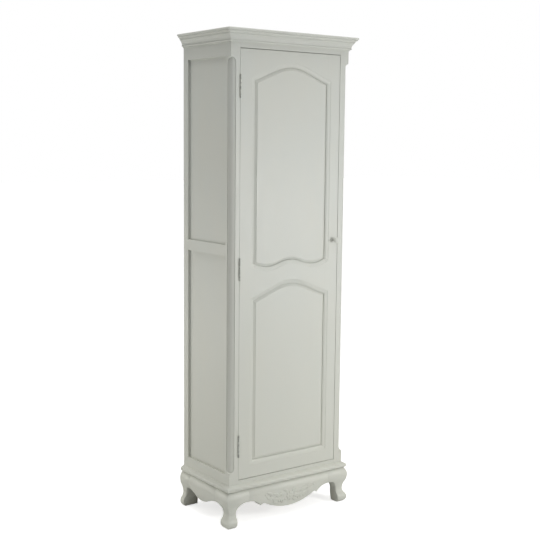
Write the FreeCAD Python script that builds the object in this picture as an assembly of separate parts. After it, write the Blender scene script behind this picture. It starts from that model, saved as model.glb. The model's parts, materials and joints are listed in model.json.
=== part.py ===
"""Bonnetiere: a tall, narrow, painted cupboard with one door, on a low ogee base.

Millimetres. +X is to the right, +Y is to the back and +Z is up. The origin is on the floor,
under the middle of the whole outline.
"""
import FreeCAD, Part
import math
import os

# Whole cupboard
case_width = 540.0
case_depth = 320.0
total_height = 1825.0
base_height = 140.0
overrun = 5.0
tongue_fit = 0.2

# Cornice: a slab with a rounded nose over a cove moulding
slab_thick = 8.0
slab_overhang = 28.0
slab_nose_share = 0.45
cornice_height = 42.0
cornice_reach = 24.5

# Waist moulding between case and base
waist_height = 23.0
waist_reach = 15.0

# Corner posts, with a stopped ovolo between two quirks on the front arris
post_depth = 31.0
front_post_face = 39.5
back_post_face = 42.0
ovolo_reach = 21.0
ovolo_quirk = 2.0
ovolo_top_margin = 48.0
ovolo_foot_margin = 45.0

# Side frames
side_rail_thick = 30.0
side_top_rail_height = 88.0
side_middle_rail_height = 40.0
side_middle_rail_rise = 877.5
side_bottom_rail_height = 62.0
side_panel_recess = 9.0
side_panel_thick = 8.0
groove_depth = 8.0

# Rails over and under the door
front_rail_thick = 22.0
front_top_rail_height = 58.0
front_bottom_rail_height = 38.0
tenon_length = 10.0
tenon_thick = 8.0
tenon_shoulder = 8.0

# Back and inner boards
back_panel_thick = 6.0
back_rebate = 10.0
back_rail_thick = 18.0
back_rail_height = 60.0
floor_thick = 16.0
inner_top_thick = 14.0
shelf_thick = 18.0
shelf_setback = 0.5
bearer_height = 20.0
bearer_width = 14.0

# Door frame and its two raised panels
door_gap = 2.0
hinge_side_gap = 1.0
door_thick = 22.0
hinge_stile_width = 66.0
lock_stile_width = 58.0
door_top_rail_shoulder = 111.0
door_middle_rail_height = 133.0
door_bottom_rail_height = 64.0
lower_shoulder_rise = 668.0
arch_rise = 54.0
flank_steepness = 1.26
wave_rise = 10.0
wave_length = 210.0
sticking_width = 15.0
sticking_depth = 5.7
bevel_width = 10.5
bevel_drop = 4.2
field_recess = 3.0
field_step = 1.2
panel_back_depth = 16.0
panel_fit = 0.3

# Butt hinges
hinge_length = 83.0
hinge_head_margin = 91.0
hinge_foot_margin = 86.5
hinge_leaf_width = 22.0
leaf_thick = 1.8
leaf_gap = 0.3
leaf_fit = 0.1
barrel_radius = 2.6
barrel_stand_off = 0.3
knuckle_gap = 0.3
pin_radius = 1.3
pin_clearance = 0.05

# Knob
knob_inset = 18.0
knob_rise = 876.0
neck_radius = 5.0
neck_length = 14.0
knob_radius = 10.0
button_thick = 10.0

# Magnetic catch
catch_length = 40.0
catch_depth = 18.0
catch_drop = 14.0
catch_inset = 40.0
catch_gap = 0.5
strike_thick = 1.2
strike_margin = 2.0

# Ogee legs: reach is outside the case, rise is above the floor, drop is under the case
brow_reach = 5.6
knee_reach = 17.7
knee_drop = 28.0
ankle_reach = 3.5
ankle_rise = 53.0
toe_reach = 17.0
toe_rise = 19.0
sole_reach = 5.5
spring_rise = 52.0
leg_core = 48.0
front_ankle_width = 29.0
front_sole_width = 24.0
front_crown_offset = 80.0
front_crown_rise = 92.0
side_ankle_width = 33.0
side_sole_width = 31.0
side_crown_offset = 72.0
side_crown_rise = 85.0
back_ankle_width = 25.0
back_sole_width = 21.0
back_crown_offset = 66.0
back_leg_width = 50.0

# Aprons
apron_thick = 22.0
apron_belly_reach = 15.5
apron_hem_rise = 30.0
cusp_rise = 67.0
notch_rise = 73.0
belly_rise = 41.5
side_belly_rise = 63.0
base_rail_thick = 18.0
base_rail_height = 75.0

# Outlines, as shares of the sizes that they follow
cornice_profile_shares = [
    [(0, 0), (0.11, 0)],
    [(0.11, 0), (0.11, 0.095)],
    [(0.11, 0.095), (0.185, 0.095)],
    [(0.185, 0.095), (0.37, 0.095), (0.37, 0.24), (0.28, 0.24)],
    [(0.28, 0.24), (0.30, 0.40), (0.47, 0.60), (0.667, 0.69)],
    [(0.667, 0.69), (0.667, 0.762)],
    [(0.667, 0.762), (0.741, 0.762)],
    [(0.741, 0.762), (0.741, 0.86), (0.86, 0.905), (1, 0.905)],
    [(1, 0.905), (1, 1)],
    [(1, 1), (0, 1)],
    [(0, 1), (0, 0)],
]
waist_profile_shares = [
    [(0, 0), (0.66, 0)],
    [(0.66, 0), (0.88, 0.02), (1, 0.18), (1, 0.39)],
    [(1, 0.39), (1, 0.56), (0.92, 0.66), (0.80, 0.70)],
    [(0.80, 0.70), (0.50, 0.82), (0.20, 0.88), (0, 1)],
    [(0, 1), (0, 0)],
]
sticking_shares = [(0, 0), (0, 0.2), (0.62, 0.46), (1, 1)]
apron_station_shares = [(-1, 0), (-0.68, 1), (0.68, 1), (1, 0)]
cusp_share = 0.708
notch_share = 0.625
arch_bend_share = 0.95
knuckle_count = 3

# Places that several pieces share
case_half = case_width / 2
knob_reach = neck_length + button_thick
front_reach = max(slab_overhang, knob_reach)
overall_depth = case_depth + front_reach
front = front_reach - overall_depth / 2
back = overall_depth / 2
case_top_z = total_height - slab_thick
cornice_foot = case_top_z - cornice_height
opening_half = case_half - front_post_face
inner_half = case_half - side_rail_thick
panel_outer = case_half - side_panel_recess
panel_inner = panel_outer - side_panel_thick
side_front = front + post_depth
side_back = back - post_depth
back_face = back - back_panel_thick
door_left = -opening_half + hinge_side_gap
door_right = opening_half - door_gap
door_back = front + door_thick
floor_top = base_height + front_bottom_rail_height
top_rail_foot = case_top_z - front_top_rail_height
inner_top_foot = top_rail_foot
door_foot = floor_top + door_gap
door_head = top_rail_foot - door_gap
sight_left = door_left + hinge_stile_width
sight_right = door_right - lock_stile_width
sight_half = (sight_right - sight_left) / 2
sight_middle = (sight_left + sight_right) / 2
hinge_x = -opening_half + hinge_side_gap / 2
hinge_y = front - barrel_stand_off - barrel_radius


def vec(x, y, z):
    """A point or direction."""
    return FreeCAD.Vector(x, y, z)


def box(x_span, y_span, z_span):
    """A box between the two ends of each span."""
    (x0, x1), (y0, y1), (z0, z1) = x_span, y_span, z_span
    return Part.makeBox(x1 - x0, y1 - y0, z1 - z0, vec(x0, y0, z0))


def mirrored(shape):
    """The same piece on the other side of the cupboard."""
    return shape.mirror(vec(0, 0, 0), vec(1, 0, 0))


def outline(segments, place):
    """A closed wire: two points make a straight edge, three an arc, and four poles a Bezier curve."""
    edges = []
    for poles in segments:
        points = [place(*pole) for pole in poles]
        if len(points) == 2:
            edges.append(Part.makeLine(*points))
        elif len(points) == 3:
            edges.append(Part.Arc(*points).toShape())
        else:
            curve = Part.BezierCurve()
            curve.setPoles(points)
            edges.append(curve.toShape())
    return Part.Wire(edges)


def prism(segments, place, direction):
    """A closed outline carried along a direction."""
    return Part.Face(outline(segments, place)).extrude(direction)


def scaled(segments, reach, height):
    """Shares turned into sizes."""
    return [[(u * reach, v * height) for u, v in poles] for poles in segments]


def upright_arc(start, end):
    """An arc that leaves its start upright."""
    run = end[0] - start[0]
    rise = end[1] - start[1]
    lean = math.atan2(abs(run), abs(rise)) / 2
    chord = math.hypot(run, rise) / (2 * math.cos(lean))
    middle = (start[0] + math.copysign(chord * math.sin(lean), run),
              start[1] + math.copysign(chord * math.cos(lean), rise))
    return [start, middle, end]


def level_arc(start, end):
    """An arc that leaves its start level."""
    turned_over = upright_arc((start[1], start[0]), (end[1], end[0]))
    return [(u, v) for v, u in turned_over]


def between(start, end):
    """The point midway."""
    return ((start[0] + end[0]) / 2, (start[1] + end[1]) / 2)


def upright_ogee(start, end):
    """Two equal arcs that leave the start and reach the end upright."""
    middle = between(start, end)
    return [upright_arc(start, middle), upright_arc(end, middle)[::-1]]


def level_ogee(start, end):
    """Two equal arcs that leave the start and reach the end level."""
    middle = between(start, end)
    return [level_arc(start, middle), level_arc(end, middle)[::-1]]


def reflected(segments):
    """The other half of a symmetrical outline, run in the opposite direction."""
    return [[(-u, v) for u, v in reversed(poles)] for poles in reversed(segments)]


# Corner posts


def ovolo_cutter():
    """What is taken off the left front arris: a quarter round between quirks, with round ends."""
    corner_x = -case_half
    throw = ovolo_reach - ovolo_quirk
    bulge = ovolo_reach - throw * math.sqrt(0.5)
    tip_top = cornice_foot - ovolo_top_margin
    tip_foot = base_height + waist_height + ovolo_foot_margin
    end_radius = math.hypot(ovolo_reach, ovolo_quirk)

    def plan(u, v):
        return vec(corner_x + u, front + v, tip_foot)

    corners = [(ovolo_quirk, ovolo_reach), (-overrun, ovolo_reach), (-overrun, -overrun),
               (ovolo_reach, -overrun), (ovolo_reach, ovolo_quirk)]
    edges = [Part.makeLine(plan(*a), plan(*b)) for a, b in zip(corners, corners[1:])]
    edges.append(Part.Arc(plan(*corners[-1]), plan(bulge, bulge), plan(*corners[0])).toShape())
    sunk = Part.Face(Part.Wire(edges)).extrude(vec(0, 0, tip_top - tip_foot))

    def section(radius, z):
        return vec(corner_x + radius, front, z)

    slant = end_radius * math.sqrt(0.5)
    low = tip_foot + end_radius
    high = tip_top - end_radius
    side = [
        Part.Arc(section(0, tip_foot), section(slant, low - slant), section(end_radius, low)).toShape(),
        Part.makeLine(section(end_radius, low), section(end_radius, high)),
        Part.Arc(section(end_radius, high), section(slant, high + slant), section(0, tip_top)).toShape(),
        Part.makeLine(section(0, tip_top), section(0, tip_foot)),
    ]
    limit = Part.Face(Part.Wire(side)).revolve(vec(corner_x, front, tip_foot), vec(0, 0, 1), 360)
    return sunk.common(limit)


def side_groove(y_span, z_span):
    """Room for the tongues of the left side panels and rails."""
    return box((-panel_outer - tongue_fit, -panel_inner + tongue_fit), y_span, z_span)


def front_rail_tenon(z_span, fit):
    """Stub tenon of a front rail in the left post, grown by a fit for its mortise."""
    middle = front + front_rail_thick / 2
    half = tenon_thick / 2 + fit
    z0, z1 = z_span
    x_span = (-opening_half - tenon_length - fit, -opening_half + tenon_length)
    z_room = (z0 + tenon_shoulder - fit, z1 - tenon_shoulder + fit)
    return box(x_span, (middle - half, middle + half), z_room)


front_rail_spans = [(top_rail_foot, case_top_z), (base_height, floor_top)]


def front_post():
    """Left front post, grooved for the side frame and mortised for the front rails."""
    post_z = (base_height, case_top_z)
    post = box((-case_half, -opening_half), (front, side_front), post_z)
    post = post.cut(ovolo_cutter())
    grooves = side_groove((side_front - groove_depth, side_front + overrun), post_z)
    post = post.cut(grooves)
    for span in front_rail_spans:
        post = post.cut(front_rail_tenon(span, tongue_fit))
    return post


def back_post():
    """Left back post, grooved for the side frame and rebated for the back panel."""
    inner = -case_half + back_post_face
    post_z = (base_height, case_top_z)
    post = box((-case_half, inner), (side_back, back), post_z)
    groove = side_groove((side_back - overrun, side_back + groove_depth), post_z)
    rebate = box((inner - back_rebate, inner + overrun), (back_face, back + overrun), post_z)
    return post.cut(groove).cut(rebate)


# Side frames

middle_rail_foot = base_height + side_middle_rail_rise
side_rails = {
    "top": (case_top_z - side_top_rail_height, case_top_z),
    "middle": (middle_rail_foot, middle_rail_foot + side_middle_rail_height),
    "bottom": (base_height, base_height + side_bottom_rail_height),
}
tongue = groove_depth - tongue_fit


def side_rail(name):
    """Left side rail with stub tongues at both ends, grooved where it meets a panel."""
    z0, z1 = side_rails[name]
    rail = box((-case_half, -inner_half), (side_front, side_back), (z0, z1))
    tongue_foot = z0 if name == "bottom" else z0 + groove_depth
    tongue_head = z1 if name == "top" else z1 - groove_depth
    tongues = box((-panel_outer, -panel_inner), (side_front - tongue, side_back + tongue),
                  (tongue_foot, tongue_head))
    rail = rail.fuse(tongues)
    y_span = (side_front - groove_depth, side_back + groove_depth)
    if name != "top":
        rail = rail.cut(side_groove(y_span, (z1 - groove_depth, z1 + overrun)))
    if name != "bottom":
        rail = rail.cut(side_groove(y_span, (z0 - overrun, z0 + groove_depth)))
    return rail.removeSplitter()


def side_panel(below, above):
    """Flat left side panel, held in the grooves of the rails below and above it."""
    z_span = (side_rails[below][1] - tongue, side_rails[above][0] + tongue)
    return box((-panel_outer, -panel_inner), (side_front - tongue, side_back + tongue), z_span)


# Front rails, back and inner boards


def front_rail(z_span):
    """Rail between the front posts, with a stub tenon at each end."""
    rail = box((-opening_half, opening_half), (front, front + front_rail_thick), z_span)
    tenon = front_rail_tenon(z_span, 0)
    return rail.fuse([tenon, mirrored(tenon)]).removeSplitter()


def post_room():
    """The four posts with a fit round them, which the inner boards are notched for."""
    z_span = (0, total_height)
    fore = box((-case_half, -opening_half + tongue_fit), (front, side_front + tongue_fit), z_span)
    rear = box((-case_half, -case_half + back_post_face + tongue_fit),
               (side_back - tongue_fit, back), z_span)
    return [fore, rear, mirrored(fore), mirrored(rear)]


def inner_board(half, y_span, z_span):
    """A board across the case, notched round the posts."""
    return box((-half, half), y_span, z_span).cut(post_room())


back_rail_front = back_face - back_rail_thick
clear_height = inner_top_foot - floor_top
shelf_names = ["shelf_lower", "shelf_middle", "shelf_upper"]
bay_height = (clear_height - len(shelf_names) * shelf_thick) / (len(shelf_names) + 1)
shelf_feet = [floor_top + bay_height + i * (bay_height + shelf_thick) for i in range(len(shelf_names))]


def shelf(foot):
    """Shelf that lies on its two bearers, behind the front posts."""
    y_span = (side_front + shelf_setback, back_face - shelf_setback)
    return inner_board(inner_half - tongue_fit, y_span, (foot, foot + shelf_thick))


def bearer(foot):
    """Batten under the left end of a shelf, between the front and back posts."""
    outer = -inner_half + tongue_fit
    return box((outer, outer + bearer_width), (side_front, side_back), (foot - bearer_height, foot))


def back_panel():
    """Thin back board in the rebates of the back posts."""
    half = case_half - back_post_face + back_rebate - tongue_fit
    return box((-half, half), (back_face, back), (base_height, case_top_z))


def back_top_rail():
    """Rail that holds the head of the back panel."""
    half = case_half - back_post_face
    return box((-half, half), (back_rail_front, back_face), (case_top_z - back_rail_height, case_top_z))


# Mitred mouldings


def moulding_front(segments, foot):
    """Moulding across the front, with a mitre at each end."""
    def left_end(reach, rise):
        return vec(-case_half - reach, front - reach, foot + rise)

    def right_end(reach, rise):
        return vec(case_half + reach, front - reach, foot + rise)

    return Part.makeLoft([outline(segments, left_end), outline(segments, right_end)], True, True)


def moulding_left(segments, foot):
    """Moulding along the left side, mitred in front and square at the back."""
    def mitre(reach, rise):
        return vec(-case_half - reach, front - reach, foot + rise)

    def square(reach, rise):
        return vec(-case_half - reach, back, foot + rise)

    return Part.makeLoft([outline(segments, mitre), outline(segments, square)], True, True)


def cornice_top():
    """Top slab, with its nose rounded on the front and the two sides."""
    half = case_half + slab_overhang
    slab = box((-half, half), (front - slab_overhang, back), (case_top_z, total_height))
    noses = []
    for edge in slab.Edges:
        middle = edge.CenterOfMass
        level = abs(edge.Vertexes[0].Z - edge.Vertexes[-1].Z) < tongue_fit
        if level and middle.y < back - tongue_fit:
            noses.append(edge)
    return slab.makeFillet(slab_thick * slab_nose_share, noses)


# Ogee base


brow = (brow_reach, base_height)
knee = (knee_reach, base_height - knee_drop)
brow_curve = upright_arc(knee, brow)[::-1]


def ogee():
    """Outer edge of a leg, from the brow down over knee, ankle and toe to the sole."""
    ankle = (ankle_reach, ankle_rise)
    toe = (toe_reach, toe_rise)
    return [brow_curve, *upright_ogee(knee, ankle), *upright_ogee(ankle, toe),
            upright_arc(toe, (sole_reach, 0))]


def leg_outline(outer, ankle_width, sole_width, crown_offset, crown_rise):
    """A leg seen square on: its outer edge, sole, inner edge and half of the arch beside it."""
    head = outer[0][0]
    sole = outer[-1][-1]
    bend = min(crown_offset - ankle_width, crown_rise - spring_rise) * arch_bend_share
    heel = (-sole_width, 0)
    spring = (-ankle_width, spring_rise)
    arch_foot = (-ankle_width, crown_rise - bend)
    arch_head = (-ankle_width - bend, crown_rise)
    crown = (-crown_offset, crown_rise)
    inner_head = (-crown_offset, base_height)
    return outer + [
        [sole, heel],
        upright_arc(spring, heel)[::-1],
        [spring, arch_foot],
        upright_arc(arch_foot, arch_head),
        [arch_head, crown],
        [crown, inner_head],
        [inner_head, head],
    ]


def facing_front(reach, rise):
    """Place of an outline that is seen from the front, measured from the left side."""
    return vec(-case_half - reach, front - slab_overhang, rise)


def front_leg():
    """Left front leg: two ogee outlines crossed, so that they mitre on the corner."""
    def facing_left(reach, rise):
        return vec(-case_half - slab_overhang, front - reach, rise)

    on_front = leg_outline(ogee(), front_ankle_width, front_sole_width,
                           front_crown_offset, front_crown_rise)
    on_side = leg_outline(ogee(), side_ankle_width, side_sole_width,
                          side_crown_offset, side_crown_rise)
    leg = prism(on_front, facing_front, vec(0, overall_depth, 0))
    leg = leg.common(prism(on_side, facing_left, vec(case_width, 0, 0)))
    hollow = box((-case_half + leg_core, 0), (front + leg_core, back), (-overrun, total_height))
    return leg.cut(hollow)


def back_leg():
    """Left back leg: ogee on the side, flat behind."""
    def facing_left(reach, rise):
        return vec(-case_half - slab_overhang, back + reach, rise)

    flat = [[(0, base_height), (0, 0)]]
    on_side = leg_outline(flat, back_ankle_width, back_sole_width, back_crown_offset, side_crown_rise)
    sole = (sole_reach, 0)
    on_front = ogee() + [
        [sole, (-back_leg_width, 0)],
        [(-back_leg_width, 0), (-back_leg_width, base_height)],
        [(-back_leg_width, base_height), brow],
    ]
    leg = prism(on_front, facing_front, vec(0, overall_depth + overrun, 0))
    return leg.common(prism(on_side, facing_left, vec(case_width, 0, 0)))


def swelled_board(length_half, place_at):
    """Apron blank: a knee moulding all along, swelling out lower down towards its middle."""
    wires = []
    for along_share, fullness_share in apron_station_shares:
        reach = ankle_reach + fullness_share * (apron_belly_reach - ankle_reach)
        low = (reach, ankle_rise)
        hem = (reach, apron_hem_rise)
        segments = [
            brow_curve,
            *upright_ogee(knee, low),
            [low, hem],
            [hem, (-apron_thick, apron_hem_rise)],
            [(-apron_thick, apron_hem_rise), (-apron_thick, base_height)],
            [(-apron_thick, base_height), brow],
        ]
        wires.append(outline(segments, place_at(along_share * length_half)))
    return Part.makeLoft(wires, True, True)


def hem_outline(half_curves, length_half):
    """Face outline of an apron: the shaped lower edge, from its middle, and a straight head."""
    head = base_height + overrun
    end_rise = half_curves[-1][-1][1]
    ends = [
        [(length_half, end_rise), (length_half, head)],
        [(length_half, head), (-length_half, head)],
        [(-length_half, head), (-length_half, end_rise)],
    ]
    return half_curves + ends + reflected(half_curves)


def apron_front():
    """Front apron: a deep belly between two small notches and cusps."""
    half = case_half - front_crown_offset
    notch = (half * notch_share, notch_rise)
    cusp = (half * cusp_share, cusp_rise)
    crown = (half, front_crown_rise)
    curves = [
        level_arc((0, belly_rise), notch),
        level_arc(notch, cusp),
        level_arc(crown, cusp)[::-1],
    ]

    def station(x):
        return lambda reach, rise: vec(x, front - reach, rise)

    def facing(x, z):
        return vec(x, front - slab_overhang, z)

    blank = swelled_board(half, station)
    return blank.common(prism(hem_outline(curves, half), facing, vec(0, overall_depth, 0)))


def apron_left():
    """Left apron: one shallow belly between the arches beside the legs."""
    start = front + side_crown_offset
    end = back - back_crown_offset
    half = (end - start) / 2
    middle = (start + end) / 2
    curves = level_ogee((0, side_belly_rise), (half, side_crown_rise))

    def station(along):
        return lambda reach, rise: vec(-case_half - reach, middle + along, rise)

    def facing(along, z):
        return vec(-case_half - slab_overhang, middle + along, z)

    blank = swelled_board(half, station)
    return blank.common(prism(hem_outline(curves, half), facing, vec(case_width, 0, 0)))


def base_back_rail():
    """Plain rail between the back legs."""
    half = case_half - back_leg_width
    return box((-half, half), (back - base_rail_thick, back), (base_height - base_rail_height, base_height))


# Door

panel_foot_depth = field_recess + field_step + bevel_drop
groove_front = front + panel_foot_depth - panel_fit
groove_back = front + panel_back_depth + tongue_fit
lower_shoulder = door_foot + lower_shoulder_rise
lower_light = (door_foot + door_bottom_rail_height, lower_shoulder, 0)
upper_light = (lower_shoulder + door_middle_rail_height, door_head - door_top_rail_shoulder, wave_rise)
flank_slope = math.atan(flank_steepness * arch_rise / sight_half)
crest_radius = (flank_steepness - 1) * arch_rise * math.cos(flank_slope) / (1 - math.cos(flank_slope))
shoulder_mitre = math.tan((math.pi / 2 - flank_slope) / 2)


def wave_end(half):
    """How high the wavy foot of a panel ends, in its own rise: its outer waves are arcs of the
    same radius as the middle one."""
    radius = (wave_length ** 2 / 4 + 4 * wave_rise ** 2) / (8 * wave_rise)
    past_dip = half - wave_length / 2
    return (radius - math.sqrt(radius ** 2 - past_dip ** 2)) / wave_rise - 1


def light_wire(light, inset, y):
    """Outline of a door panel's opening, moved inwards by an inset: a head whose straight flanks
    run into a round crest, straight sides, and a foot that is straight or in three waves."""
    foot, shoulder, ripple = light
    half = sight_half - inset
    foot += inset
    left = (-half, foot + ripple * wave_end(half))
    right = (half, foot + ripple * wave_end(half))
    spring = (half, shoulder - inset * shoulder_mitre)
    radius = crest_radius - inset
    apex = (0, shoulder + arch_rise - inset)
    bend = (radius * math.sin(flank_slope), apex[1] - radius * (1 - math.cos(flank_slope)))
    flank = [spring, bend]
    crest = [bend, apex, (-bend[0], bend[1])]
    if ripple:
        turn = wave_length / 4
        dip = foot - ripple
        base = [[left, (-2 * turn, dip), (-turn, foot)],
                [(-turn, foot), (0, foot + ripple), (turn, foot)],
                [(turn, foot), (2 * turn, dip), right]]
    else:
        base = [[left, right]]
    sides = [[right, spring], flank, crest, *reflected([flank]), [(-half, spring[1]), left]]
    return outline(base + sides, lambda x, z: vec(sight_middle + x, y, z))


def light_cutter(light):
    """Everything that a panel's opening takes out of the door frame: the moulded edge,
    the opening itself and the groove round it."""
    wires = [light_wire(light, -sticking_width, front - overrun)]
    for across, down in sticking_shares:
        inset = sticking_width * (across - 1)
        wires.append(light_wire(light, inset, front + down * sticking_depth))
    moulded = Part.makeLoft(wires, True, True)
    through = Part.Face(light_wire(light, 0, front)).extrude(vec(0, door_thick + overrun, 0))
    groove = Part.Face(light_wire(light, -groove_depth, groove_front))
    groove = groove.extrude(vec(0, groove_back - groove_front, 0))
    return [moulded, through, groove]


def raised_panel(light):
    """Raised panel: a field, a small step, a bevel that runs on into the groove, a flat back."""
    slope = bevel_drop / bevel_width
    edge_depth = panel_foot_depth + slope * tongue
    sections = [(bevel_width, field_recess), (bevel_width, field_recess + field_step),
                (-tongue, edge_depth), (-tongue, panel_back_depth)]
    wires = [light_wire(light, inset, front + depth) for inset, depth in sections]
    return Part.makeLoft(wires, True, True)


door_cutters = light_cutter(lower_light) + light_cutter(upper_light)
door_y = (front, door_back)


def door_stile(x_span):
    """Stile of the door, moulded and grooved along its inner edge."""
    stile = box(x_span, door_y, (door_foot, door_head))
    groove = box((sight_left - groove_depth, sight_right + groove_depth), (groove_front, groove_back),
                 (door_foot, door_head))
    return stile.cut(door_cutters).cut(groove)


def door_rail(z_span, tongue_span):
    """Rail of the door between the stiles, shaped by the openings, with a tongue at each end."""
    rail = box((sight_left, sight_right), door_y, z_span).cut(door_cutters)
    tongue_y = (groove_front + tongue_fit, groove_back - tongue_fit)
    tongues = [box((sight_left - tongue, sight_left), tongue_y, tongue_span),
               box((sight_right, sight_right + tongue), tongue_y, tongue_span)]
    return rail.fuse(tongues).removeSplitter()


upper_foot_at_stile = upper_light[0] + wave_rise * wave_end(sight_half)
upper_shoulder = upper_light[1]
door_rail_spans = {
    "door_top_rail": ((upper_shoulder, door_head), (upper_shoulder + groove_depth, door_head)),
    "door_middle_rail": ((lower_shoulder, upper_light[0] + wave_rise),
                         (lower_shoulder + groove_depth, upper_foot_at_stile - groove_depth)),
    "door_bottom_rail": ((door_foot, lower_light[0]), (door_foot, lower_light[0] - groove_depth)),
}

# Hinges

knuckle_length = (hinge_length - (knuckle_count - 1) * knuckle_gap) / knuckle_count
hinge_feet = {
    "upper": door_head - hinge_head_margin - hinge_length,
    "middle": (door_foot + door_head - hinge_length) / 2,
    "lower": door_foot + hinge_foot_margin,
}


def barrel(radius, foot, length):
    """A length of cylinder on the hinge axis."""
    return Part.makeCylinder(radius, length, vec(hinge_x, hinge_y, foot), vec(0, 0, 1))


def leaf_span(outward):
    """Room of a leaf across the gap of the door, with its back sunk in the edge of the wood."""
    free_side = hinge_x + outward * leaf_gap / 2
    sunk_side = free_side + outward * leaf_thick
    return (min(free_side, sunk_side), max(free_side, sunk_side))


def leaf_seats(outward):
    """Shallow seats that the three leaves are let into."""
    y_span = (front - overrun, front + hinge_leaf_width + leaf_fit)
    return [box(leaf_span(outward), y_span, (foot - leaf_fit, foot + hinge_length + leaf_fit))
            for foot in hinge_feet.values()]


def hinge_leaf(foot, outward):
    """One leaf with its knuckles: -1 is the frame's leaf, which has the end knuckles and holds
    the pin, and 1 is the door's, which turns on the pin."""
    wall = (barrel_radius + pin_radius) / 2
    plate = box(leaf_span(outward), (hinge_y + wall, front + hinge_leaf_width), (foot, foot + hinge_length))
    knuckles = []
    rooms = []
    for i in range(knuckle_count):
        knuckle_foot = foot + i * (knuckle_length + knuckle_gap)
        own = (i % 2 == 0) == (outward < 0)
        if own:
            knuckles.append(barrel(barrel_radius, knuckle_foot, knuckle_length))
        else:
            rooms.append(barrel(barrel_radius + knuckle_gap, knuckle_foot - knuckle_gap,
                                knuckle_length + 2 * knuckle_gap))
    leaf = plate.cut(rooms).fuse(knuckles)
    if outward < 0:
        leaf = leaf.fuse(barrel(pin_radius, foot, hinge_length))
    else:
        leaf = leaf.cut(barrel(pin_radius + pin_clearance, foot, hinge_length))
    return leaf.removeSplitter()


# Knob and catch

knob_x = door_right - knob_inset
knob_z = door_foot + knob_rise


def on_knob_axis(length):
    """Place on the axis of the knob, out from the face of the door."""
    return vec(knob_x, front - length, knob_z)


def door_knob():
    """Turned button knob on a plain neck."""
    neck = Part.makeCylinder(neck_radius, neck_length, on_knob_axis(0), vec(0, -1, 0))
    button_foot = on_knob_axis(neck_length)
    return neck.fuse(Part.makeCylinder(knob_radius, button_thick, button_foot, vec(0, -1, 0)))


catch_right = door_right - catch_inset
catch_x = (catch_right - catch_length, catch_right)
strike_back = door_back + strike_thick


def catch_strike():
    """Steel plate on the back of the door."""
    z_span = (inner_top_foot - catch_drop + strike_margin, door_head - strike_margin)
    return box(catch_x, (door_back, strike_back), z_span)


def catch_body():
    """Magnet housing under the inner top board."""
    foot = strike_back + catch_gap
    return box(catch_x, (foot, foot + catch_depth), (inner_top_foot - catch_drop, inner_top_foot))


# Put every piece in its node

cornice_profile = scaled(cornice_profile_shares, cornice_reach, cornice_height)
waist_profile = scaled(waist_profile_shares, waist_reach, waist_height)
left_front_post = front_post().cut(leaf_seats(-1))
hinge_stile = door_stile((door_left, sight_left)).cut(leaf_seats(1))
lock_stile = door_stile((sight_right, door_right))
bearers = [bearer(foot) for foot in shelf_feet]

pairs = {
    "back_{}_post": back_post(),
    "{}_top_rail": side_rail("top"),
    "{}_middle_rail": side_rail("middle"),
    "{}_bottom_rail": side_rail("bottom"),
    "{}_upper_panel": side_panel("middle", "top"),
    "{}_lower_panel": side_panel("bottom", "middle"),
    "cornice_{}": moulding_left(cornice_profile, cornice_foot),
    "waist_{}": moulding_left(waist_profile, base_height),
    "apron_{}": apron_left(),
    "front_{}_leg": front_leg(),
    "back_{}_leg": back_leg(),
}

nodes = {
    "front_left_post": left_front_post,
    "front_right_post": mirrored(front_post()),
    "front_top_rail": front_rail(front_rail_spans[0]),
    "front_bottom_rail": front_rail(front_rail_spans[1]),
    "back_top_rail": back_top_rail(),
    "back_panel": back_panel(),
    "case_top": inner_board(inner_half, (front + front_rail_thick, back_rail_front),
                            (inner_top_foot, inner_top_foot + inner_top_thick)),
    "case_floor": inner_board(inner_half, (front + front_rail_thick, back_face),
                              (floor_top - floor_thick, floor_top)),
    "shelf_bearers": Part.makeCompound(bearers + [mirrored(piece) for piece in bearers]),
    "cornice_front": moulding_front(cornice_profile, cornice_foot),
    "cornice_top": cornice_top(),
    "waist_front": moulding_front(waist_profile, base_height),
    "apron_front": apron_front(),
    "base_back_rail": base_back_rail(),
    "catch_body": catch_body(),
    "catch_strike": catch_strike(),
    "door_hinge_stile": hinge_stile,
    "door_lock_stile": lock_stile,
    "door_upper_panel": raised_panel(upper_light),
    "door_lower_panel": raised_panel(lower_light),
    "door_knob": door_knob(),
}
for pattern, piece in pairs.items():
    nodes[pattern.format("left")] = piece
    nodes[pattern.format("right")] = mirrored(piece)
for name, foot in zip(shelf_names, shelf_feet):
    nodes[name] = shelf(foot)
for name, spans in door_rail_spans.items():
    nodes[name] = door_rail(*spans)
for name, foot in hinge_feet.items():
    nodes[f"hinge_{name}_frame_leaf"] = hinge_leaf(foot, -1)
    nodes[f"hinge_{name}_door_leaf"] = hinge_leaf(foot, 1)

os.makedirs("parts", exist_ok=True)
for name, shape in nodes.items():
    shape.exportStep(f"parts/{name}.step")
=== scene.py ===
"""Bonnetiere: a tall one-door cupboard in old white paint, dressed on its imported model.

Metres, in the model's own frame: +X to the right, +Y to the back, +Z up, floor at zero.
"""
import json
import math

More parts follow.
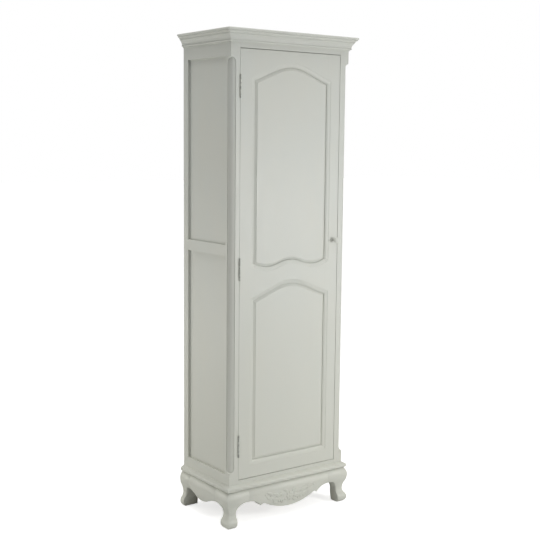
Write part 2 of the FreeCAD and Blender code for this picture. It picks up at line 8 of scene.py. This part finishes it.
import bpy
import numpy as np
from mathutils import Matrix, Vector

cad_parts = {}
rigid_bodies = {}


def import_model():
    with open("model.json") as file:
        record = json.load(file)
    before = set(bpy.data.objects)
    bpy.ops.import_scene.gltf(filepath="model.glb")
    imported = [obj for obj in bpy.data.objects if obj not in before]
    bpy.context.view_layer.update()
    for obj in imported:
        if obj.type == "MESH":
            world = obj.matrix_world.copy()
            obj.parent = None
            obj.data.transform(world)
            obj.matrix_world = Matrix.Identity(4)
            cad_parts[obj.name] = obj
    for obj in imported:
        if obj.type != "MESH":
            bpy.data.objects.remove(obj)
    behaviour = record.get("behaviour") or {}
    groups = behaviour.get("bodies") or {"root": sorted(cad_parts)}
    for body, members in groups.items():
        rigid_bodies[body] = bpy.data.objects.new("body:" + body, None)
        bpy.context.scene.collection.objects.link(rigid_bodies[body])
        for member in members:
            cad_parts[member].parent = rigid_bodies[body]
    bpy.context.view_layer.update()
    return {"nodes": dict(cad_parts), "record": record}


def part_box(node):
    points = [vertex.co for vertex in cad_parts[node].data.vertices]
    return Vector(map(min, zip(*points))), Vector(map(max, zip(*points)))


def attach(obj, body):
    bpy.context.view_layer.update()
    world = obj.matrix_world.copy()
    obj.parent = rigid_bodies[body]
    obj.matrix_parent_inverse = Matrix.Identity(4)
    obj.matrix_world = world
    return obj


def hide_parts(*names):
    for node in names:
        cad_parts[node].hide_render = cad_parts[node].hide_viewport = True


for startup_object in list(bpy.data.objects):
    bpy.data.objects.remove(startup_object)
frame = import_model()


# Ogee legs and aprons
# The low base is sawn and carved from solid wood, glued up at the corners, and brushed with
# several coats of white paint, with painted shade darkening its corners.

paint_colour = (0.617, 0.626, 0.572, 1.0)
paint_cool_colour = (0.603, 0.621, 0.577, 1.0)
paint_low_tint_colour = (0.622, 0.624, 0.540, 1.0)
# The dark colour of the painted shade in closed-in corners.
corner_shade_colour = (0.235, 0.240, 0.205, 1.0)
rubbed_colour = (0.665, 0.670, 0.615, 1.0)
paint_roughness = 0.46
paint_relief = 0.0002
stroke_width = 0.0045
stroke_length = 0.11
low_tint_foot, low_tint_head = 0.35, 1.15
low_tint_share = 0.5
rubbed_share = 0.12
corner_shade_reach = 0.004
edge_round = 0.0006
fine_round = 0.0003
weld_distance = 0.00001
flat_angle = math.radians(0.2)
arris_angle = math.radians(28)


def new_material(name):
    """An empty node material, with its tree and its Principled shader."""
    material = bpy.data.materials.new(name)
    material.use_nodes = True
    return material, material.node_tree, material.node_tree.nodes["Principled BSDF"]


def set_inputs(tree, node, values):
    """Input sockets of a node, each set to a value or linked to another node's output."""
    for name, value in values.items():
        if isinstance(value, bpy.types.NodeSocket):
            tree.links.new(value, node.inputs[name])
        else:
            node.inputs[name].default_value = value


def add_node(tree, kind, values=None, **settings):
    """A node of a kind, with its settings and its inputs."""
    node = tree.nodes.new(kind)
    for name, value in settings.items():
        setattr(node, name, value)
    set_inputs(tree, node, values or {})
    return node


def noise_on(tree, scale, detail=3.0, rough=0.5):
    """Noise on Object coordinates, with its own scale in each direction, in cycles per metre."""
    place = add_node(tree, "ShaderNodeTexCoord").outputs["Object"]
    scaled = add_node(tree, "ShaderNodeMapping", {"Vector": place, "Scale": scale})
    noise = add_node(tree, "ShaderNodeTexNoise", {"Vector": scaled.outputs["Vector"], "Scale": 1.0,
                                                  "Detail": detail, "Roughness": rough})
    return noise.outputs["Fac"]


def ramp_on(tree, value, low, high, to_low=0.0, to_high=1.0):
    """A value taken from one span to another, held at its ends."""
    span = {"Value": value, "From Min": low, "From Max": high, "To Min": to_low, "To Max": to_high}
    return add_node(tree, "ShaderNodeMapRange", span).outputs["Result"]


def mix_on(tree, share, first, second):
    """A colour between two colours."""
    sockets = {0: share, 6: first, 7: second}
    return add_node(tree, "ShaderNodeMix", sockets, data_type="RGBA").outputs[2]


def math_on(tree, operation, first, second):
    """Two values joined by one operation."""
    return add_node(tree, "ShaderNodeMath", {0: first, 1: second}, operation=operation).outputs[0]


def bump_on(tree, height, strength, distance, under=None):
    """A normal tilted by a height, over another normal where there is one under it."""
    values = {"Height": height, "Strength": strength, "Distance": distance}
    if under is not None:
        values["Normal"] = under
    return add_node(tree, "ShaderNodeBump", values).outputs["Normal"]


def old_white_paint(name, along, corner_shade_low=0.12, corner_shade_high=0.28):
    """Brushed satin paint: fine strokes along one axis, a slow drift of tone, a warmer tint towards
    the floor, and painted shade darkening the corners, where the space round a point is closed in."""
    material, tree, shader = new_material(name)
    across, run = 1.0 / stroke_width, 1.0 / stroke_length
    strokes = noise_on(tree, [run if axis == along else across for axis in range(3)])
    drift = noise_on(tree, (5.0, 5.0, 3.0), 4.0, 0.6)
    speckle = noise_on(tree, (900.0, 900.0, 900.0), 2.0)
    place = add_node(tree, "ShaderNodeTexCoord").outputs["Object"]
    height = add_node(tree, "ShaderNodeSeparateXYZ", {"Vector": place}).outputs["Z"]
    # The paint is tinted warmer towards the floor.
    low_tint = ramp_on(tree, height, low_tint_foot, low_tint_head, low_tint_share, 0.0)
    rubbed = ramp_on(tree, strokes, 0.62, 0.80, 0.0, rubbed_share)
    # Painted shade: the tone is darkened where little open space lies round a point, in corners,
    # creases and recesses.
    space = add_node(tree, "ShaderNodeAmbientOcclusion", {"Distance": corner_shade_reach}, samples=8)
    corner = ramp_on(tree, space.outputs["AO"], 0.25, 0.75, 1.0, 0.0)
    patchy = ramp_on(tree, drift, 0.3, 0.7, corner_shade_low, corner_shade_high)
    tone = mix_on(tree, ramp_on(tree, drift, 0.35, 0.65), paint_cool_colour, paint_colour)
    tone = mix_on(tree, low_tint, tone, paint_low_tint_colour)
    tone = mix_on(tree, rubbed, tone, rubbed_colour)
    tone = mix_on(tree, math_on(tree, "MULTIPLY", corner, patchy), tone, corner_shade_colour)
    satin = ramp_on(tree, strokes, 0.3, 0.7, paint_roughness - 0.06, paint_roughness + 0.08)
    grit = bump_on(tree, speckle, 0.12, paint_relief)
    set_inputs(tree, shader, {"Base Color": tone, "Roughness": satin, "Specular IOR Level": 0.35,
                              "Normal": bump_on(tree, strokes, 0.02, paint_relief, grit)})
    return material


def dress(names, material, rounding=edge_round):
    """A finish for nodes of the model, with their arrises eased."""
    for name in names:
        piece = frame["nodes"][name]
        for slot in piece.material_slots:
            slot.material = material
        if rounding:
            weld = piece.modifiers.new("weld", "WELD")
            weld.merge_threshold = weld_distance
            flat = piece.modifiers.new("flat_faces", "DECIMATE")
            flat.decimate_type = "DISSOLVE"
            flat.angle_limit = flat_angle
            eased = piece.modifiers.new("eased_arris", "BEVEL")
            eased.width = rounding
            eased.segments = 2
            eased.limit_method = "ANGLE"
            eased.angle_limit = arris_angle
            eased.harden_normals = True


across_x, across_y, up_z = 0, 1, 2
paint_level = old_white_paint("white_paint_level", across_x)
paint_side = old_white_paint("white_paint_side", across_y)
paint_upright = old_white_paint("white_paint_upright", up_z)
# The base and the front waist take a stronger painted shade in their corners and creases.
paint_base = old_white_paint("white_paint_base", across_x, corner_shade_low=0.50, corner_shade_high=0.75)
dress(["front_left_leg", "front_right_leg", "back_left_leg", "back_right_leg", "apron_front"],
      paint_base, fine_round)
dress(["apron_left", "apron_right"], paint_side, fine_round)


# Carved spray on the front apron
# A flower between two sprays of leaves, cut in low relief in the belly of the apron and painted
# with it. Each leaf and petal is a closed, sunk lens whose upper half stands out of the apron.

apron_low, _ = (np.array(corner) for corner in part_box("apron_front"))
belly_bottom = apron_low[2]
knee_level, ankle_level = 0.112, 0.053
knee_fall = 0.0022
relief_height = 0.0027
relief_root = 0.0025
flower_rise = 0.038
flower_middle = (0.0, belly_bottom + flower_rise)
boss_radius = 0.0055
boss_height = 1.3 * relief_height
petal_count = 8
petal_start = 0.003
petal_reach = 0.0155
petal_width = 0.0105

# A leaf has the root, the pull and the tip of its spine, then its width and its count of lobes.
# A bud has its place, then its radius. Places are out from the flower and up from the apron's foot.
spray_leaves = [
    ((0.016, 0.040), (0.040, 0.030), (0.060, 0.038), 0.015, 3),
    ((0.018, 0.044), (0.036, 0.056), (0.056, 0.052), 0.013, 3),
    ((0.046, 0.038), (0.070, 0.030), (0.086, 0.044), 0.014, 3),
    ((0.050, 0.046), (0.066, 0.060), (0.086, 0.058), 0.012, 3),
    ((0.078, 0.044), (0.098, 0.040), (0.112, 0.056), 0.012, 2),
    ((0.080, 0.052), (0.094, 0.068), (0.110, 0.068), 0.010, 2),
    ((0.014, 0.030), (0.024, 0.016), (0.042, 0.016), 0.012, 3),
    ((0.012, 0.054), (0.018, 0.066), (0.034, 0.068), 0.010, 2),
    ((0.022, 0.014), (0.023, 0.026), (0.020, 0.036), 0.006, 0),
    ((0.031, 0.015), (0.033, 0.026), (0.031, 0.037), 0.006, 0),
    ((0.040, 0.017), (0.043, 0.027), (0.042, 0.038), 0.006, 0),
    ((0.050, 0.020), (0.054, 0.029), (0.053, 0.040), 0.006, 0),
    ((0.062, 0.024), (0.070, 0.028), (0.082, 0.026), 0.008, 2),
]
spray_buds = [(0.060, 0.047, 0.0035), (0.090, 0.051, 0.0032), (0.116, 0.062, 0.0036)]


def apron_face(z):
    """The apron's front at a height: furthest out at the knee, easing back to the belly by a
    smooth step between the two levels."""
    share = np.clip((knee_level - z) / (knee_level - ankle_level), 0, 1)
    return apron_low[1] + knee_fall * share * share * (3 - 2 * share)


def skin(rings):
    """Vertices and faces of a closed tube: quads between neighbouring rings, and each end ring
    closed by a fan on its own middle point."""
    count, around, _ = rings.shape
    ends = np.stack([rings[0].mean(axis=0), rings[-1].mean(axis=0)])
    points = np.concatenate([rings.reshape(-1, 3), ends])
    index = np.arange(count * around).reshape(count, around)
    after = np.roll(index, -1, axis=1)
    quads = np.stack([index[:-1], after[:-1], after[1:], index[1:]], axis=-1).reshape(-1, 4)
    first = np.stack([np.full(around, count * around), after[0], index[0]], axis=-1)
    last = np.stack([np.full(around, count * around + 1), index[-1], after[-1]], axis=-1)
    return points, quads.tolist() + first.tolist() + last.tolist()


def joined(skins):
    """Several closed skins in one list of vertices and one list of faces."""
    points, faces, start = [], [], 0
    for part_points, part_faces in skins:
        points.append(part_points)
        faces += [[start + corner for corner in face] for face in part_faces]
        start += len(part_points)
    return np.concatenate(points), faces


def add_object(name, data):
    """A new object in the scene."""
    placed = bpy.data.objects.new(name, data)
    bpy.context.scene.collection.objects.link(placed)
    return placed


def new_piece(name, skins, material, body):
    """A finished piece with smooth faces: its mesh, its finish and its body."""
    points, faces = joined(skins)
    mesh = bpy.data.meshes.new(name)
    mesh.from_pydata(points.tolist(), [], faces)
    mesh.polygons.foreach_set("use_smooth", np.full(len(faces), True))
    mesh.materials.append(material)
    mesh.update()
    piece = add_object(name, mesh)
    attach(piece, body)
    return piece


def carved_leaf(start, bend, end, width, lobes):
    """A leaf on the apron: its spine is a quadratic curve through start and end, pulled to bend.
    Across it, a lens of the given width whose edge is waved into lobes, with a vein sunk along
    the spine and the tip curled up a little."""
    u = np.linspace(0, 1, 29)[:, None]
    turn = np.linspace(0, 2 * np.pi, 20, endpoint=False)[None, :]
    start, bend, end = (np.array(point) for point in (start, bend, end))
    spine = (1 - u) ** 2 * start + 2 * u * (1 - u) * bend + u ** 2 * end
    course = 2 * (1 - u) * (bend - start) + 2 * u * (end - bend)
    course /= np.linalg.norm(course, axis=1, keepdims=True)
    side = np.stack([-course[:, 1], course[:, 0]], axis=1)
    full = np.sin(np.pi * u ** 0.8) ** 0.75 * (1 + 0.22 * np.abs(np.sin(lobes * np.pi * u)))
    across = width / 2 * full * np.cos(turn)
    vein = 0.35 * np.exp(-(np.cos(turn) / 0.22) ** 2) * np.clip(1.2 - u, 0, 1)
    crown = np.sin(turn) * (1 - vein * (np.sin(turn) > 0))
    rise = np.where(crown > 0, relief_height * (0.75 + 0.25 * u), relief_root) * crown
    rise = rise * np.clip(full * 1.4, 0.05, 1)
    x = spine[:, :1] + across * side[:, :1]
    z = spine[:, 1:] + across * side[:, 1:]
    return skin(np.stack([x, apron_face(z) - rise, z], axis=-1))


def carved_boss(middle, radius, height):
    """A round bud: a lens of revolution sunk half in the apron."""
    u = np.linspace(0.02, 0.98, 13)[:, None] * np.pi
    turn = np.linspace(0, 2 * np.pi, 24, endpoint=False)[None, :]
    x = middle[0] + radius * np.sin(u) * np.cos(turn)
    z = middle[1] + radius * np.sin(u) * np.sin(turn)
    rise = np.cos(u) * np.where(np.cos(u) > 0, height, relief_root) + 0 * turn
    return skin(np.stack([x, apron_face(z) - rise, z], axis=-1))


carving = [carved_boss(flower_middle, boss_radius, boss_height)]
for petal in range(petal_count):
    angle = 2 * math.pi * petal / petal_count + math.pi / 2
    heading = np.array([math.cos(angle), math.sin(angle)])
    root = np.array(flower_middle) + petal_start * heading
    carving.append(carved_leaf(root, root + petal_reach / 2 * heading,
                               root + petal_reach * heading, petal_width, 0))
for hand in (-1, 1):
    for start, bend, end, width, lobes in spray_leaves:
        spots = [(hand * x, belly_bottom + z) for x, z in (start, bend, end)]
        carving.append(carved_leaf(*spots, width, lobes))
    for x, z, radius in spray_buds:
        carving.append(carved_boss((hand * x, belly_bottom + z), radius, relief_height))
new_piece("apron_carving", carving, paint_base, "case")


# Waist moulding
# A rounded moulding mitred round the foot of the case, glued to the base, painted with it.

dress(["waist_front"], paint_base)
dress(["waist_left", "waist_right"], paint_side)


# Case: corner posts, side frames and front rails
# Frame-and-panel sides between four posts; the front posts have a stopped quarter round on the
# arris. All joints are glued and painted over, with a hairline left at each one.

sides = ("left", "right")
dress([f"{end}_{side}_post" for end in ("front", "back") for side in sides], paint_upright)
dress([f"{side}_{place}_rail" for side in sides for place in ("top", "middle", "bottom")],
      paint_side)
dress([f"{side}_{place}_panel" for side in sides for place in ("upper", "lower")], paint_upright)
dress(["front_top_rail", "front_bottom_rail"], paint_level)


# Inner boards: floor, shelves, their bearers, and the top
# Plain pine boards, left bare inside but rubbed with a thin white wash, so the grain shows.

wash_pale_colour = (0.60, 0.545, 0.45, 1.0)
wash_dark_colour = (0.46, 0.375, 0.27, 1.0)
pine_pore_depth = 0.0003
board_round = 0.0008


def washed_pine(name, along):
    """Pine under a thin wash: growth rings as noise drawn out along the board, with fine pores."""
    material, tree, shader = new_material(name)
    rings = noise_on(tree, [3.0 if axis == along else 75.0 for axis in range(3)], 4.0, 0.6)
    pores = noise_on(tree, [25.0 if axis == along else 900.0 for axis in range(3)], 2.0)
    wash = noise_on(tree, (7.0, 7.0, 7.0), 3.0)
    grain = mix_on(tree, ramp_on(tree, rings, 0.40, 0.66), wash_pale_colour, wash_dark_colour)
    grain = mix_on(tree, ramp_on(tree, wash, 0.35, 0.7, 0.1, 0.6), grain, wash_pale_colour)
    set_inputs(tree, shader, {"Base Color": grain, "Specular IOR Level": 0.25,
                              "Roughness": ramp_on(tree, pores, 0.3, 0.7, 0.55, 0.75),
                              "Normal": bump_on(tree, pores, 0.25, pine_pore_depth)})
    return material


pine_level = washed_pine("washed_pine_level", across_x)
pine_side = washed_pine("washed_pine_side", across_y)
dress(["case_floor", "case_top", "shelf_lower", "shelf_middle", "shelf_upper",
       "back_top_rail", "base_back_rail"], pine_level, board_round)
dress(["shelf_bearers"], pine_side, board_round)


# Back panel
# Thin plywood pinned into the rebates of the back posts, bare on both faces.

ply_pale_colour = (0.57, 0.45, 0.31, 1.0)
ply_dark_colour = (0.44, 0.33, 0.21, 1.0)
ply_pore_depth = 0.0002
ply_round = 0.0004


def bare_plywood(name):
    """Rotary-cut veneer: broad wavy figure drawn out upright, with short dark pores."""
    material, tree, shader = new_material(name)
    figure = noise_on(tree, (16.0, 40.0, 1.6), 5.0, 0.55)
    pores = noise_on(tree, (700.0, 700.0, 40.0), 2.0)
    veneer = mix_on(tree, ramp_on(tree, figure, 0.38, 0.64), ply_pale_colour, ply_dark_colour)
    veneer = mix_on(tree, ramp_on(tree, pores, 0.62, 0.75, 0.0, 0.5), veneer, ply_dark_colour)
    set_inputs(tree, shader, {"Base Color": veneer, "Specular IOR Level": 0.25,
                              "Roughness": ramp_on(tree, pores, 0.3, 0.7, 0.6, 0.8),
                              "Normal": bump_on(tree, pores, 0.2, ply_pore_depth)})
    return material


dress(["back_panel"], bare_plywood("bare_plywood"), ply_round)


# Cornice
# A cove moulding mitred round the head of the case under a thin slab with a rounded nose. Its
# thin members keep the model's own edges.

dress(["cornice_front", "cornice_top"], paint_level, rounding=0)
dress(["cornice_left", "cornice_right"], paint_side, rounding=0)


# Door
# A frame with a moulded inner edge, shaped to an arch over each panel and to waves under the
# upper one, round two raised panels that float in its groove.

dress(["door_hinge_stile", "door_lock_stile", "door_upper_panel", "door_lower_panel"],
      paint_upright, fine_round)
dress(["door_top_rail", "door_middle_rail", "door_bottom_rail"], paint_level, fine_round)


# Hinges
# Three dull steel butt hinges, each leaf let in flush and held by three screws. They were brushed
# over when the door was painted, so patches of paint are left on them.

steel_colour = (0.335, 0.345, 0.315, 1.0)
steel_worn_colour = (0.54, 0.545, 0.505, 1.0)
scratch_depth = 0.0001
paint_left_share = 0.6
hinge_heights = ("upper", "middle", "lower")
half_leaf_gap = 0.00015
leaf_screw_radius = 0.0034
leaf_screw_inset = 0.009
leaf_screw_shares = (0.14, 0.5, 0.86)
flush_dome = 0.00005
head_depth = 0.0009
slot_half_share = 0.18
slot_edge_share = 0.2
slot_across = (0.6, 0.8)


def old_steel(name):
    """Dull old steel: cloudy tone, bright scuffs, a fine random scratch bump, and patches of the
    cupboard's paint left on it."""
    material, tree, shader = new_material(name)
    cloud = noise_on(tree, (60.0, 60.0, 60.0), 4.0, 0.6)
    scuff = noise_on(tree, (1200.0, 1200.0, 90.0), 2.0)
    patches = noise_on(tree, (40.0, 40.0, 85.0), 1.0)
    worn = ramp_on(tree, cloud, 0.42, 0.66, 0.0, 0.5)
    painted = ramp_on(tree, patches, 0.48, 0.60, 0.0, paint_left_share)
    tone = mix_on(tree, painted, mix_on(tree, worn, steel_colour, steel_worn_colour), paint_colour)
    set_inputs(tree, shader, {"Base Color": tone, "Metallic": 0.6,
                              "Roughness": ramp_on(tree, scuff, 0.3, 0.7, 0.32, 0.5),
                              "Normal": bump_on(tree, scuff, 0.15, scratch_depth)})
    return material


def slotted_head(middle, axis, outward, radius, dome):
    """A screw head round one axis: a low dome in polar rings, with a straight slot sunk across it
    by a smooth step, and its rim carried back below the surface it sits in."""
    r = np.array([0.05, 0.2, 0.35, 0.5, 0.65, 0.8, 0.92, 1.0, 1.0])[:, None] * radius
    turn = np.linspace(0, 2 * np.pi, 40, endpoint=False)[None, :]
    first, second = r * np.cos(turn), r * np.sin(turn)
    half_slot = slot_half_share * radius
    from_slot = np.abs(slot_across[0] * first + slot_across[1] * second)
    slot = 1 / (1 + np.exp((from_slot - half_slot) / (slot_edge_share * half_slot)))
    rise = dome * (1 - (r / radius) ** 3) - half_slot * slot
    rise[-1] = -head_depth
    rings = np.empty(rise.shape + (3,))
    rings[..., axis] = middle[axis] + outward * rise
    rings[..., (axis + 1) % 3] = middle[(axis + 1) % 3] + first
    rings[..., (axis + 2) % 3] = middle[(axis + 2) % 3] + second
    return skin(rings if outward > 0 else rings[:, ::-1])


hinge_steel = old_steel("old_steel")
dress([f"hinge_{height}_{half}_leaf" for height in hinge_heights for half in ("frame", "door")],
      hinge_steel, fine_round)
hinge_x = frame["record"]["behaviour"]["joints"][0]["pos_m"][0]
for half, body, outward in (("frame", "case", 1), ("door", "door", -1)):
    heads = []
    for height in hinge_heights:
        low, high = (np.array(corner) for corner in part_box(f"hinge_{height}_{half}_leaf"))
        for share in leaf_screw_shares:
            middle = (hinge_x - outward * half_leaf_gap, high[1] - leaf_screw_inset,
                      low[2] + share * (high[2] - low[2]))
            heads.append(slotted_head(middle, across_x, outward, leaf_screw_radius, flush_dome))
    new_piece(f"hinge_{half}_screws", heads, hinge_steel, body)


# Knob
# A small turned wooden button on a slim neck, painted with the door. One machine screw through
# the stile holds it, and its head shows on the back of the door.

knob_low, knob_high = (np.array(corner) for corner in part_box("door_knob"))
_, stile_high = (np.array(corner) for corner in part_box("door_lock_stile"))
knob_screw_radius = 0.0045
knob_screw_dome = 0.0018

# Shares of the knob's radius, and of its length out from the door.
knob_shares = [(0.55, 0.0), (0.55, 0.06), (0.46, 0.14), (0.42, 0.32), (0.44, 0.46), (0.62, 0.55),
               (0.92, 0.64), (1.0, 0.75), (0.95, 0.87), (0.72, 0.95), (0.38, 0.99), (0.02, 1.0)]


def smooth_profile(marks, count=60):
    """A profile drawn through its marks, with a cubic over each span that takes its slope at a
    mark from the marks on either side."""
    marks = np.array(marks)
    steps = np.linspace(0, len(marks) - 1, count)
    before = np.clip(steps.astype(int), 0, len(marks) - 2)
    t = (steps - before)[:, None]
    padded = np.vstack([marks[:1], marks, marks[-1:]])
    p0, p1, p2, p3 = (padded[before + i] for i in range(4))
    return 0.5 * (2 * p1 + (p2 - p0) * t + (2 * p0 - 5 * p1 + 4 * p2 - p3) * t ** 2
                  + (3 * p1 - p0 - 3 * p2 + p3) * t ** 3)


def turned_button(low, high, profile):
    """A turned shape: radii and depths, as shares of a node's radius and length, carried once
    round the axis through its middle, along Y."""
    middle_x, middle_z = (low[0] + high[0]) / 2, (low[2] + high[2]) / 2
    radius = (high[0] - low[0]) / 2
    turn = np.linspace(0, 2 * np.pi, 48, endpoint=False)[None, :]
    r = radius * profile[:, :1]
    y = high[1] - (high[1] - low[1]) * profile[:, 1:] + 0 * turn
    return skin(np.stack([middle_x + r * np.cos(turn), y, middle_z + r * np.sin(turn)], axis=-1))


knob = new_piece("turned_knob", [turned_button(knob_low, knob_high, smooth_profile(knob_shares))],
                 paint_upright, "door")
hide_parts("door_knob")
knob_middle = (knob_low + knob_high) / 2
knob_screw = slotted_head((knob_middle[0], stile_high[1], knob_middle[2]), across_y, 1,
                          knob_screw_radius, knob_screw_dome)
new_piece("knob_screw", [knob_screw], hinge_steel, "door")


# Catch
# A magnet in a brown plastic housing, screwed under the inner top, and its steel plate, held by
# two screws on the back of the door.

catch_colour = (0.085, 0.05, 0.032, 1.0)
catch_pale_colour = (0.11, 0.066, 0.042, 1.0)
strike_colour = (0.50, 0.50, 0.48, 1.0)
strike_dull_colour = (0.36, 0.36, 0.34, 1.0)
catch_grain_depth = 0.0002
catch_round = 0.001
strike_round = 0.0004
strike_screw_radius = 0.0022
strike_screw_shares = (0.2, 0.8)


def moulded_plastic(name):
    """Brown moulded plastic with a spark-eroded grain."""
    material, tree, shader = new_material(name)
    grain = noise_on(tree, (1600.0, 1600.0, 1600.0), 2.0)
    tone = mix_on(tree, ramp_on(tree, grain, 0.4, 0.6), catch_colour, catch_pale_colour)
    set_inputs(tree, shader, {"Base Color": tone,
                              "Roughness": ramp_on(tree, grain, 0.3, 0.7, 0.42, 0.55),
                              "Normal": bump_on(tree, grain, 0.2, catch_grain_depth)})
    return material


def plated_steel(name):
    """Dull zinc plating: cloudy tone with fine scratches along the plate."""
    material, tree, shader = new_material(name)
    cloud = noise_on(tree, (220.0, 220.0, 220.0), 3.0)
    scratch = noise_on(tree, (60.0, 2500.0, 2500.0), 2.0)
    tone = mix_on(tree, ramp_on(tree, cloud, 0.35, 0.7), strike_colour, strike_dull_colour)
    set_inputs(tree, shader, {"Base Color": tone, "Metallic": 0.9,
                              "Roughness": ramp_on(tree, scratch, 0.3, 0.7, 0.35, 0.5)})
    return material


dress(["catch_body"], moulded_plastic("catch_plastic"), catch_round)
strike_steel = plated_steel("plated_steel")
dress(["catch_strike"], strike_steel, strike_round)
strike_low, strike_high = (np.array(corner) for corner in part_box("catch_strike"))
strike_screws = []
for share in strike_screw_shares:
    screw_x = strike_low[0] + share * (strike_high[0] - strike_low[0])
    screw_place = (screw_x, strike_high[1], (strike_low[2] + strike_high[2]) / 2)
    strike_screws.append(slotted_head(screw_place, across_y, 1, strike_screw_radius, flush_dome))
new_piece("strike_screws", strike_screws, strike_steel, "door")


# Camera, light and floor
# The photograph's viewpoint; a soft lamp from the right, others behind on the left and on top,
# and a white surround that lights from above, over a white floor, which keeps the shadow.

view_yaw, view_pitch, view_roll = (math.radians(angle) for angle in (36.2476, 7.0541, -0.5447))
view_from = (-2.3090, -3.1694, 1.4221)
view_lens = 67.977
view_sensor = 36.0
white = (1.0, 1.0, 1.0)
warm_white = (1.0, 0.985, 0.92)
overhead_level = 0.64
overhead_start, overhead_full = 0.4, 0.65
floor_half = 30.0
floor_shade = 0.88
floor_glow = 0.68

# A lamp has its name, its place, its target, its width, its watts and its colour.
lamps = [
    ("key_lamp", (1.15, -2.13, 1.00), (0.0, 0.0, 0.92), 0.45, 25.2, white),
    ("left_lamp", (-2.18, 1.96, 0.20), (0.0, 0.0, 0.40), 1.20, 32.5, warm_white),
    ("top_lamp", (-0.60, -0.60, 4.00), (0.0, 0.0, 0.90), 1.60, 36.0, white),
]


def placed_on_axes(x_axis, y_axis, z_axis, place):
    """The matrix of an object with these axes at this place."""
    matrix = np.eye(4)
    for column, vector in enumerate((x_axis, y_axis, z_axis, place)):
        matrix[:3, column] = vector
    return Matrix(matrix.tolist())


def soft_lamp(name, place, target, size, watts, colour):
    """A square area lamp that faces a target."""
    lamp_data = bpy.data.lights.new(name, "AREA")
    lamp_data.size = size
    lamp_data.energy = watts
    lamp_data.color = colour
    back = np.array(place) - np.array(target)
    back /= np.linalg.norm(back)
    side = np.cross((0.0, 0.0, 1.0), back)
    side /= np.linalg.norm(side)
    lamp = add_object(name, lamp_data)
    lamp.matrix_world = placed_on_axes(side, np.cross(back, side), back, place)


level_ahead = np.array([math.sin(view_yaw), math.cos(view_yaw), 0.0])
level_right = np.array([math.cos(view_yaw), -math.sin(view_yaw), 0.0])
ahead = math.cos(view_pitch) * level_ahead - math.sin(view_pitch) * np.array([0.0, 0.0, 1.0])
level_down = np.cross(ahead, level_right)
right = math.cos(view_roll) * level_right + math.sin(view_roll) * level_down
down = -math.sin(view_roll) * level_right + math.cos(view_roll) * level_down
camera_data = bpy.data.cameras.new("photograph_camera")
camera_data.lens = view_lens
camera_data.sensor_width = view_sensor
camera_data.sensor_fit = "HORIZONTAL"
camera = add_object("photograph_camera", camera_data)
camera.matrix_world = placed_on_axes(right, -down, -ahead, view_from)
bpy.context.scene.camera = camera
for lamp in lamps:
    soft_lamp(*lamp)

world = bpy.data.worlds.new("white_surround")
bpy.context.scene.world = world
world.use_nodes = True
sky = world.node_tree
direction = add_node(sky, "ShaderNodeTexCoord").outputs["Generated"]
upward = add_node(sky, "ShaderNodeSeparateXYZ", {"Vector": direction}).outputs["Z"]
strength = ramp_on(sky, upward, overhead_start, overhead_full, 0.0, overhead_level)
rays = add_node(sky, "ShaderNodeLightPath").outputs
for ray in ("Is Camera Ray", "Is Glossy Ray", "Is Transmission Ray"):
    strength = math_on(sky, "MAXIMUM", strength, rays[ray])
set_inputs(sky, sky.nodes["Background"], {"Color": (*white, 1.0), "Strength": strength})

floor_mesh = bpy.data.meshes.new("studio_floor")
floor_mesh.from_pydata([(-floor_half, -floor_half, 0), (floor_half, -floor_half, 0),
                        (floor_half, floor_half, 0), (-floor_half, floor_half, 0)],
                       [], [(0, 1, 2, 3)])
floor = add_object("studio_floor", floor_mesh)
floor_paint, floor_tree, floor_shader = new_material("studio_floor_paint")
seen = add_node(floor_tree, "ShaderNodeLightPath").outputs["Is Camera Ray"]
set_inputs(floor_tree, floor_shader, {
    "Base Color": (floor_shade, floor_shade, floor_shade, 1.0), "Roughness": 0.9,
    "Specular IOR Level": 0.0, "Emission Color": (*white, 1.0),
    "Emission Strength": ramp_on(floor_tree, seen, 0.0, 1.0, 0.0, floor_glow)})
floor_mesh.materials.append(floor_paint)

bpy.context.scene.view_settings.view_transform = "Standard"
